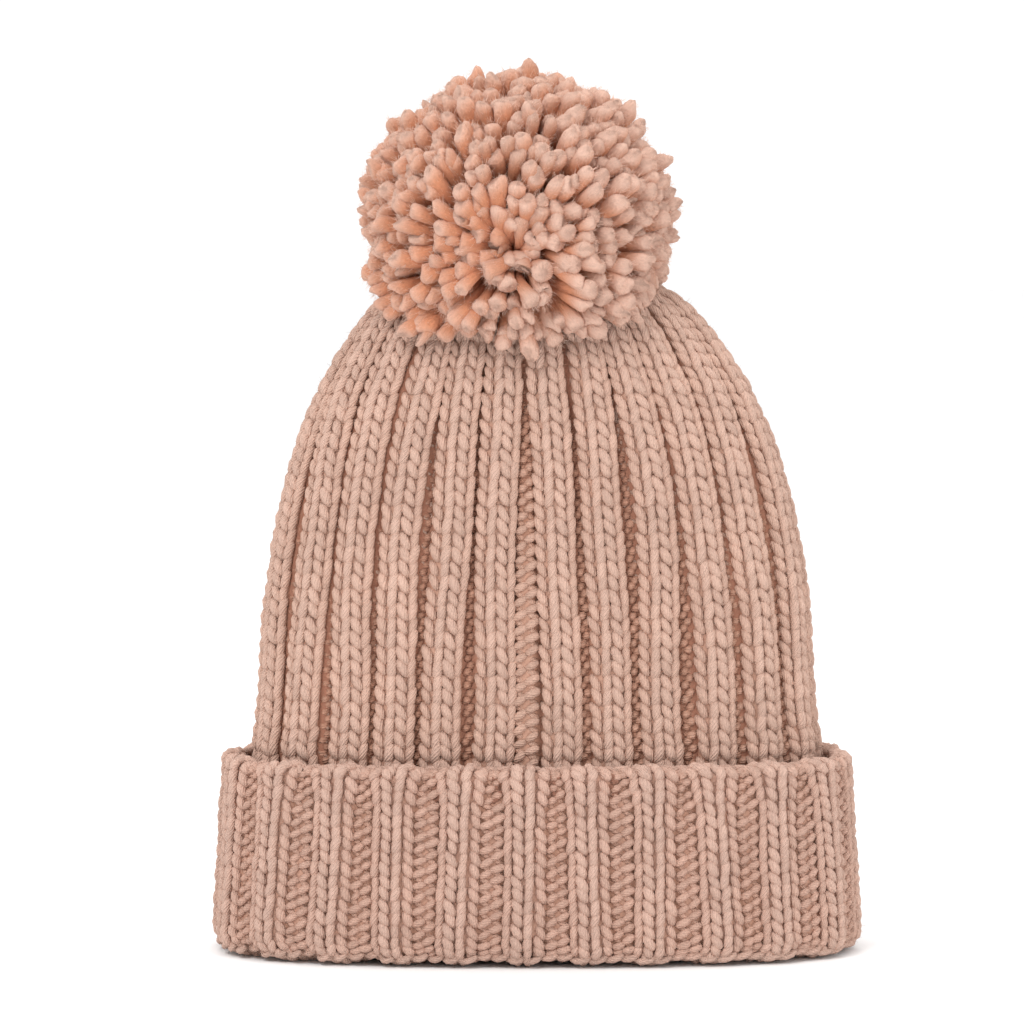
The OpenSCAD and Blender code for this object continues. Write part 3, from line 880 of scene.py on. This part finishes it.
# ---- Rows that run round the hat: the turning chain at the rim, and the cast-on loops ----
def round_row(name, v0, length, r, slant, height, sink, node):
    """A row of slanted stitches round the other face. Between the ribs they sink."""
    w = swept(7)
    mid = (np.arange(STITCHES_ROUND) + 0.5) / STITCHES_ROUND + FIRST_CHANNEL
    j = rng.normal(size=(4, STITCHES_ROUND))
    girth = inner_cloth.girth_at(np.array([v0]))[0]
    half = length / 2 * (1 + 0.05 * j[0])
    ang = math.radians(slant) + 0.06 * j[1]
    u = mid[:, None] + (half * np.cos(ang))[:, None] * w / girth
    v = v0 + 0.15 * j[2][:, None] + (half * np.sin(ang))[:, None] * w
    _, _, rib_c, rib_w = inner_layout(np.array([v0]))
    near = np.abs((mid[:, None] - rib_c[0][None] + 0.5) % 1 - 0.5).min(1) * girth
    on_rib = np.clip(1 - (near - rib_w.mean() / 2 + 1) / 3, 0, 1)
    h = (height - sink * (1 - on_rib) + 0.12 * j[3])[:, None] - 1.6 * np.abs(w) ** 2.4
    p, n = inner_cloth.at(u, v, h)
    rad = r * (1 + 0.05 * j[1])[:, None] * blunt(w)
    yarn = Yarn()
    yarn.add(p, rad, n, 8, depth=-h)
    yarn.piece(name, "hat", CUFF_LOOK, node)


STITCHES_ROUND = 96
round_row("rim_turning_chain", RIM_END - 8.5, 7.4, 1.35, 24, -0.8, 1.6, "rim_fold")
round_row("cast_on_loops", CUFF_END + 11.5, 8.0, 1.3, -22, -1.9, 1.2, "cuff_cast_on_edge")


# ---- Seams up the back ----
SEAM_DEPTH = -2.6


def seam(name, cloth, layout, v0, v1, node, step):
    """Stitches across the channel at the back, slanted by turns."""
    v = np.arange(v0, v1, step)
    chan_c, chan_w, _, _ = layout(v)
    pick = np.argmin(np.abs((chan_c[0] % 1) - 0.5))
    girth = cloth.girth_at(v)
    w = np.linspace(-1, 1, 7)
    half = np.clip(0.42 * chan_w[:, pick], 0.9, 3.0)
    slope = np.where(np.arange(len(v)) % 2, 0.32, -0.10)
    u = chan_c[:, pick][:, None] + (half / girth)[:, None] * w
    vv = v[:, None] + slope[:, None] * half[:, None] * w
    scale = np.clip(girth / body_girth, 0.25, 1)
    h = (SEAM_DEPTH * scale)[:, None] - 1.5 * scale[:, None] * w**2
    p, n = cloth.at(u, vv, h)
    r = (0.85 * scale)[:, None] * (0.6 + 0.4 * (1 - np.abs(w) ** 3)) * np.ones_like(h)
    yarn = Yarn()
    yarn.add(p, r, n, 8, depth=-h)
    yarn.piece(name, "hat", SEAM_LOOK, node)


seam_end, cuff_seam_start = outer_cloth.length - 12, INSIDE_END + 2
seam("back_seam_stitches", *OUTER_FACE, 2, seam_end, "back_seam_yarn", BODY_ROW)
seam("back_seam_inside", *OTHER_FACE, 4, INSIDE_END, "back_seam_yarn", BODY_ROW)
seam("cuff_seam_stitches", *OTHER_FACE, cuff_seam_start, CUFF_END + 2, "cuff_seam_yarn", CUFF_ROW)

# ---- Gather at the top of the crown ----
PLEATS = 48
EYE_R = 5.6
PLEAT_START = BUNCH_R + 2.5
w = np.linspace(0, 1, 9)
angle = TAU * (np.arange(PLEATS) + 0.5) / PLEATS
odd = np.arange(PLEATS) % 2
reach = PLEAT_START + (EYE_R - PLEAT_START) * w[None] + 0 * angle[:, None]
rise = -1.7 * (1 + 0.6 * odd[:, None]) + 1.2 * np.sin(w[None] * math.pi) - 3.0 * w[None] ** 6
px = LEAN + reach * np.sin(angle)[:, None]
py = -reach * np.cos(angle)[:, None]
pleat = np.stack([px, py, TOP_Z + rise], -1)
pleat_r = (0.62 + 0.75 * (1 - w[None]) ** 0.8) * (1.25 - 0.15 * odd[:, None])
up = np.zeros_like(pleat)
up[..., 2] = 1
bunch = Yarn()
bunch.add(pleat, pleat_r, up, 8, depth=-rise + 0.5)
# the same pleats mirrored to the fabric's underside
under = pleat.copy()
under[..., 2] = 2 * (TOP_Z - KNIT_T / 2) - pleat[..., 2]
bunch.add(under, pleat_r, -up, 6, depth=-rise + 0.5)
bunch.piece("bunched_stitches", "hat", BODY_LOOK, "crown_bunched_stitches")

# ---- Gather yarn, tie, tails and knot ----
# Depth of painted shade at which all these yarns are coloured
TUBE_SHADE_DEPTH = 2.0


def add_tube(name, path, r, up, body, look, node):
    """One tube of yarn."""
    p = path[None]
    depth = np.full(p.shape[:2], TUBE_SHADE_DEPTH)
    yarn = Yarn()
    yarn.add(p, r * np.ones(p.shape[:2]), np.broadcast_to(up, p.shape), 10, depth=depth)
    yarn.piece(name, body, look, node)


def closed(points):
    return join([points, points[:1]])


loop = np.linspace(0, TAU, 96, endpoint=False)
PLY_PHASES = (0.0, math.pi)
GATHER_WAVES, GATHER_WAVE = 12, 1.9 * 0.7
gather_r = (EYE_R + BUNCH_R) / 2 - 1.0
gather_z = TOP_Z - 1.6 + GATHER_WAVE * np.sin(loop * GATHER_WAVES)
gather = np.stack([LEAN + gather_r * np.sin(loop), -gather_r * np.cos(loop), gather_z], -1)
add_tube("gather_yarn", closed(gather), 0.9, (0, 0, 1.0), "hat", SEAM_LOOK, "crown_gather_yarn")

TIE_PLY_R, TIE_TWIST_R, TIE_TURNS = 0.95, 0.8, 9
tie_mid = (tie_lo + tie_hi) / 2
tie_r = (tie_hi[2] - tie_lo[2]) / 2 - 1.8
for i, phase in enumerate(PLY_PHASES):
    twist = loop * TIE_TURNS + phase
    rr = tie_r + TIE_TWIST_R * np.cos(twist)
    offset = [TIE_TWIST_R * np.sin(twist), rr * np.sin(loop), rr * np.cos(loop)]
    tie = closed(tie_mid + np.stack(offset, -1))
    add_tube(f"tie_ply_{i}", tie, TIE_PLY_R, (1.0, 0, 0), "tie", TIE_LOOK, "pompom_tie")

TAIL_PLY_R, TAIL_TWIST = 1.05, 0.75
tails_mid = (tails_lo + tails_hi) / 2
z = np.linspace(tails_lo[2], tails_hi[2], 40)
for i, phase in enumerate(PLY_PHASES):
    twist = z * TAIL_TWIST + phase
    px = tails_mid[0] + TAIL_PLY_R * np.cos(twist)
    py = tails_mid[1] + TAIL_PLY_R * np.sin(twist)
    tail = np.stack([px, py, z], -1)
    add_tube(f"tail_ply_{i}", tail, TAIL_PLY_R, (1.0, 0, 0), "tails", TIE_LOOK, "pompom_tails")

KNOT_R = 2.1
knot_mid = (knot_lo + knot_hi) / 2
knot_half = (knot_hi - knot_lo) / 2
trefoil = [np.sin(loop) + 2 * np.sin(2 * loop), np.cos(loop) - 2 * np.cos(2 * loop)]
trefoil = np.stack([*trefoil, -1.6 * np.sin(3 * loop)], -1)
trefoil = closed(trefoil / np.abs(trefoil).max(0) * (knot_half - KNOT_R) + knot_mid)
add_tube("tail_knot", trefoil, KNOT_R, (0.3, 0.2, 1.0), "tails", TIE_LOOK, "inside_knot")
s = np.linspace(0, 1, 12)
knot_end_r = 1.5 * (1 - 0.25 * s**4)
for i, way in enumerate((-1, 1)):
    px = knot_mid[0] + way * (1.5 + 4.0 * s)
    end = np.stack([px, knot_mid[1] + 1.2 * way * s, knot_mid[2] - 2 - 9 * s + 1.5 * s * s], -1)
    add_tube(f"knot_end_{i}", end, knot_end_r, (0, 1.0, 0), "tails", TIE_LOOK, "inside_knot")

# ---- Pompom: rings of strands round a front and a back pole, where they part ----
BALL_MID = np.array([(ball_lo[0] + ball_hi[0]) / 2 - 2.0, 0, ball_hi[2] - 56.5])
BALL_R = np.array([55.5, 56.0, 49.0])
TIE_POINT = np.array([-8.0, 0.0, 256.0])
POLE_ASIDE, POLE_DOWN = -0.09, math.radians(19)
# Distances of the rings from their pole, on a ball of this radius
RING_ARCS = (12, 21, 28.5, 36.5, 43.5, 50, 56.5, 62.5, 68.5, 74.5, 80.5, 86.5, 92.5, 98.5, 104.5)
RING_PITCH = 5.7
BALL_ARC = 54.0
# Partings that run out from the pole: direction, strength, width
CREASES = (
    (math.radians(88), 0.09, 0.16),
    (math.radians(200), 0.06, 0.14),
    (math.radians(335), 0.06, 0.14),
)
# How far the roots fan out front and back, how far the middles bulge, and the hollow at the pole
FAN_DEPTH = 27.0
ARCH = 6.5
DIMPLE, DIMPLE_WIDTH = 0.30, math.radians(25)
# Rings of a strand from root to tip, and its thickness at each
STRAND_R = 3.15
PLACES = np.array([0.06, 0.28, 0.46, 0.60, 0.72, 0.82, 0.89, 0.935, 0.965, 0.988, 1.0])
SWELL = np.array([0.34, 0.44, 0.56, 0.68, 0.80, 0.90, 0.97, 1.0, 0.95, 0.76, 0.36])


def ring_tips(side):
    """Directions of one half's strand tips (-1 is the front), and their angles from the pole."""
    pole = np.array([POLE_ASIDE, side * math.cos(POLE_DOWN), -math.sin(POLE_DOWN)])
    pole /= np.linalg.norm(pole)
    across = np.cross(pole, [0, 0, 1.0])
    across /= np.linalg.norm(across)
    rise = np.cross(across, pole)
    out, polar = [], []
    for arc in RING_ARCS:
        theta = arc / BALL_ARC
        count = max(7, round(TAU * BALL_ARC * math.sin(theta) / RING_PITCH))
        turn_at = (np.arange(count) + rng.random()) / count * TAU
        turn_at = turn_at + rng.normal(size=count) * 0.22 * TAU / count
        for where, strength, width in CREASES:
            delta = (turn_at - where + math.pi) % TAU - math.pi
            fade = math.exp(-((theta / 0.9) ** 4))
            turn_at = turn_at + np.sign(delta) * strength * np.exp(-np.abs(delta) / width) * fade
        tilt = theta + rng.normal(size=count) * 0.045
        ring = np.cos(tilt)[:, None] * pole + np.sin(tilt)[:, None] * (
            np.cos(turn_at)[:, None] * across + np.sin(turn_at)[:, None] * rise
        )
        mine = ring[:, 1] * side > 0.0
        out.append(ring[mine])
        polar.append(tilt[mine])
    return join(out), join(polar)


front_dir, front_polar = ring_tips(-1)
back_dir, back_polar = ring_tips(1)
on_ball = join([front_dir, back_dir])
polar = join([front_polar, back_polar])
half_side = join([-np.ones(len(front_dir)), np.ones(len(back_dir))])
# the tips lie on the ball, less a dimple at the poles and fuller below
reach = 1 - DIMPLE * np.exp(-((polar / DIMPLE_WIDTH) ** 2))
reach = reach * (1 + 0.05 * np.clip(-on_ball[:, 2] - 0.4, 0, 0.6))
fuller = 1 + 0.6 * np.clip(-on_ball[:, 2] - 0.25, 0, 0.6) ** 1.2
spread_out = np.stack([fuller, fuller, 1 + 0 * fuller], -1)
tip = BALL_MID + on_ball * BALL_R * reach[:, None] * spread_out
forward = np.stack([0 * polar, half_side, 0 * polar], -1)
fan = FAN_DEPTH * np.cos(np.clip(polar, 0, math.pi / 2)) ** 2
tie_at = TIE_POINT + forward * fan[:, None]
tip_dir = tip - tie_at
tip_len = np.linalg.norm(tip_dir, axis=1)
tip_dir /= tip_len[:, None]
tip_len = tip_len + rng.normal(size=len(tip_len)) * 1.7
tip = tie_at + tip_dir * tip_len[:, None]
arch = ARCH * np.exp(-(polar**2))
middle = tie_at + tip_dir * (tip_len * 0.55)[:, None] + forward * arch[:, None]
q = PLACES[None, :, None]
path = (1 - q) ** 2 * tie_at[:, None] + 2 * q * (1 - q) * middle[:, None] + q**2 * tip[:, None]
wander = rng.normal(size=(len(tip), 1, 3)) * 1.3
path = path + wander * np.sin(q * math.pi * 1.3) * q

# Strands keep this far off the crown, and lie further out the lower they hang
CLEAR_MARGIN, CLEAR_SWING = 2.4, 0.12
CLEAR_SQUARE = 2.3
# A strand that would have to move further than this is left out
CLEAR_MOST = 18.0


def clear_of_crown(path):
    """Strands that meet the crown lie over it, in front of it or behind it."""
    x, y, z = path[..., 0], path[..., 1], path[..., 2]
    zc = np.clip(z, TAPER_Z, TOP_Z - 0.01)
    w = width_at(OUTER, zc) + CLEAR_MARGIN
    full = np.clip((w - BUNCH_R) / (OUTER[0] - BUNCH_R), 0, 1)
    depth = BUNCH_R + (OUTER[1] - BUNCH_R) * full
    rel = np.clip(np.abs((x - LEAN * (1 - full**2)) / w), 0, 1)
    swing = CLEAR_SWING * np.clip(TOP_Z - 4 - z, 0, None)
    y_skin = depth * (1 - rel**CLEAR_SQUARE) ** (1 / CLEAR_SQUARE) + CLEAR_MARGIN + swing
    from_mid = np.clip(np.abs(x - LEAN * 0.5), BUNCH_R, OUTER[0])
    roof = height_at(OUTER, from_mid) + CLEAR_MARGIN + 0.05 * np.abs(x)
    inside = (np.abs(y) < y_skin) & (z < roof)
    go_up = inside & (roof - z < y_skin - np.abs(y))
    go_out = inside & ~go_up
    new = path.copy()
    new[..., 2] = np.where(go_up, roof, z)
    new[..., 1] = np.where(go_out, np.where(y < 0, -1, 1) * y_skin, y)
    return new


cleared = clear_of_crown(path)
moved = np.linalg.norm(cleared - path, axis=2)[:, 3:].max(1)
keep = moved < CLEAR_MOST
path, tip_len, half_side = cleared[keep], tip_len[keep], half_side[keep]
tip_dir = unit(path[:, -1] - path[:, -4])
size = 1 + 0.12 * rng.normal(size=len(path))
rad = STRAND_R * np.clip(size, 0.72, 1.32)[:, None] * SWELL[None]
up = np.cross(np.gradient(path, axis=1), np.array([0.31, 0.17, 0.93]))
# painted shade: a strand's colour darkens from its tip towards its root, warmed to orange as
# painted light passing through the wool
depth = (1 - PLACES[None]) * tip_len[:, None] + 0 * rad
FRONT_AND_BACK = {"front": half_side < 0, "back": half_side > 0}
CUT = {"lumps": 0.035, "lobes": 3, "slant": 0.35}
for side, mine in FRONT_AND_BACK.items():
    yarn = Yarn()
    yarn.add(path[mine], rad[mine], up[mine], 12, depth=depth[mine], **CUT)
    look = ("pompom_yarn", pompom_mat)
    yarn.piece(f"pompom_strands_{side}", "pompom", look, "pompom_strands")

# ---- Fluff: fine fibres that stand off the strand tips ----
FIBRES, FIBRE_R = 46, 0.06
# They grow from a strand's last rings
FIBRE_RINGS = 6
last = len(PLACES) - 1
tip_x = path[:, -1, 0]
for side, mine in FRONT_AND_BACK.items():
    for part, picked in (("right", tip_x > BALL_MID[0]), ("left", tip_x <= BALL_MID[0])):
        here = mine & picked
        rings = rng.integers(last + 1 - FIBRE_RINGS, last + 1, size=(int(here.sum()), FIBRES))
        root = np.take_along_axis(path[here], rings[..., None], 1).reshape(-1, 3)
        root_r = np.take_along_axis(rad[here], rings, 1).reshape(-1)
        out = np.repeat(tip_dir[here], FIBRES, 0)
        spread = rng.normal(size=root.shape)
        spread = unit(spread - (spread * out).sum(1, keepdims=True) * out)
        away = unit(spread * 0.7 + out * rng.uniform(0.4, 1.3, size=(len(root), 1)))
        fibre_len = rng.uniform(0.9, 3.2, size=len(root))
        # on the cut end they start anywhere, and elsewhere just under the surface
        share = rng.random((len(root), 1)) ** 0.5
        share = np.where(rings.reshape(-1, 1) == last, share, 0.9)
        start = root + spread * (root_r[:, None] * share)
        ends = np.stack([start, start + away * fibre_len[:, None]], 1)
        fibre_r = FIBRE_R * np.array([[1.0, 0.35]]) * np.ones((len(root), 1))
        fibre_up = np.cross(away, HAIR_UP)[:, None] * np.ones((1, 2, 1))
        fluff = Yarn()
        fluff.add(ends, fibre_r, fibre_up, 3, depth=0 * fibre_r)
        look = ("pompom_yarn", fluff_mat)
        fluff.piece(f"pompom_fluff_{side}_{part}", "pompom", look, "pompom_strands")

# ---- Stage: pale floor and soft studio light ----
FLOOR = 6.0
floor_mesh = bpy.data.meshes.new("floor")
corners = [(x * FLOOR, y * FLOOR, 0) for x, y in ((-1, -1), (1, -1), (1, 1), (-1, 1))]
floor_mesh.from_pydata(corners, [], [(0, 1, 2, 3)])
floor = bpy.data.objects.new("floor", floor_mesh)
link(floor)
floor_mat = bpy.data.materials.new("floor_paper")
floor_mat.use_nodes = True
floor_shader = floor_mat.node_tree.nodes["Principled BSDF"]
floor_shader.inputs["Base Color"].default_value = (0.92, 0.92, 0.92, 1)
floor_shader.inputs["Roughness"].default_value = 0.9
floor_mesh.materials.append(floor_mat)


LIGHTS_AIM = (0, 0, 0.16)


def area_light(name, place, size, power):
    data = bpy.data.lights.new(name, "AREA")
    data.shape = "DISK"
    data.size = size
    data.energy = power
    lamp = bpy.data.objects.new(name, data)
    link(lamp)
    lamp.location = place
    lamp.rotation_mode = "QUATERNION"
    lamp.rotation_quaternion = (Vector(LIGHTS_AIM) - Vector(place)).to_track_quat("-Z", "Y")


area_light("key", (-0.9, -1.5, 1.7), 0.9, 22)
area_light("fill", (1.3, -1.4, 0.9), 1.1, 6)
area_light("top", (0.1, 0.3, 2.0), 1.2, 9)

world = bpy.data.worlds.new("studio")
bpy.context.scene.world = world
world.use_nodes = True
background = world.node_tree.nodes["Background"]
background.inputs["Color"].default_value = (1, 1, 1, 1)
background.inputs["Strength"].default_value = 1.08

# The photo's backdrop is pure white, which the default view transform greys
bpy.context.scene.view_settings.view_transform = "Standard"
